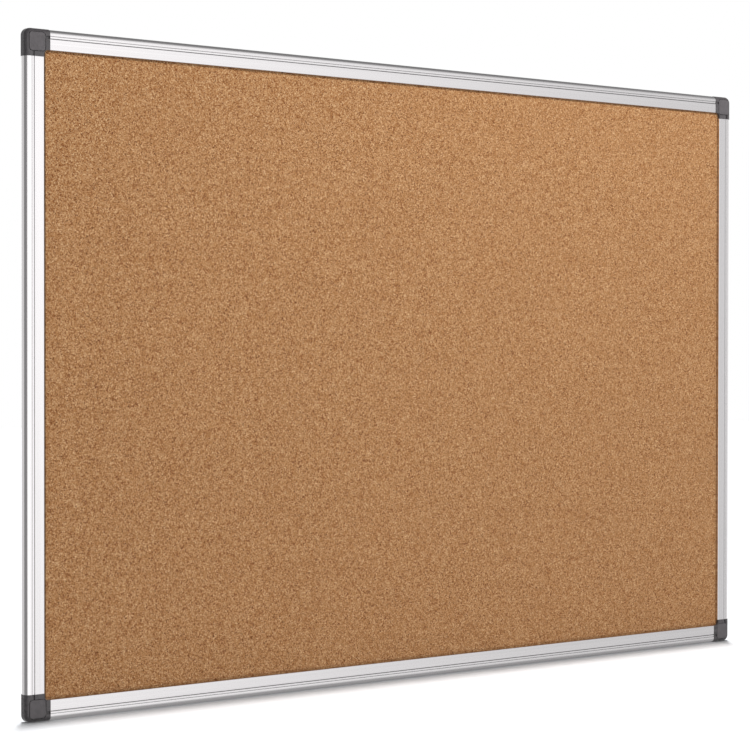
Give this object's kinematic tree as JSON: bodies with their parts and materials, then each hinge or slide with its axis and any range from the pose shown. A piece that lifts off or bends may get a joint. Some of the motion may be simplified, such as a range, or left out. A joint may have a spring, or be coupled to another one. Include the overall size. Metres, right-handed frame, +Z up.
{
  "type": "framed cork bulletin board",
  "caption": "Wall-hung cork pin board in a slim aluminium frame, with plastic corners whose square covers hide the wall screws.",
  "frame": {"origin": "centre of the board on the wall plane, which is the centre of the wall-screw pattern", "axes": "+X along the width, +Z up, +Y towards the wall, so the cork faces -Y"},
  "size_m": [0.9, 0.0104, 0.6],
  "materials": {
    "cork": "matte",
    "softboard": "matte",
    "backing_paper": "matte",
    "anodised_aluminium": "satin",
    "corner_plastic": "satin",
    "cover_plastic": "satin",
    "zinc_steel": "satin"
  },
  "bodies": {
    "frame": {"cork_sheet": "cork", "core_board": "softboard", "backing_sheet": "backing_paper", "top_rail": "anodised_aluminium", "bottom_rail": "anodised_aluminium", "left_rail": "anodised_aluminium", "right_rail": "anodised_aluminium", "corner_body_top_left": "corner_plastic", "corner_body_top_right": "corner_plastic", "corner_body_bottom_left": "corner_plastic", "corner_body_bottom_right": "corner_plastic", "corner_fixing_screws": "zinc_steel"},
    "cover_top_left": {"screw_cover_top_left": "cover_plastic"},
    "cover_top_right": {"screw_cover_top_right": "cover_plastic"},
    "cover_bottom_left": {"screw_cover_bottom_left": "cover_plastic"},
    "cover_bottom_right": {"screw_cover_bottom_right": "cover_plastic"}
  },
  "joints": [
    {"name": "cover_top_left_pull_off", "type": "slide", "parent": "frame", "child": "cover_top_left", "axis": [0, -1, 0], "range_m": [0, 0.02]},
    {"name": "cover_top_right_pull_off", "type": "slide", "parent": "frame", "child": "cover_top_right", "axis": [0, -1, 0], "range_m": [0, 0.02]},
    {"name": "cover_bottom_left_pull_off", "type": "slide", "parent": "frame", "child": "cover_bottom_left", "axis": [0, -1, 0], "range_m": [0, 0.02]},
    {"name": "cover_bottom_right_pull_off", "type": "slide", "parent": "frame", "child": "cover_bottom_right", "axis": [0, -1, 0], "range_m": [0, 0.02]}
  ]
}
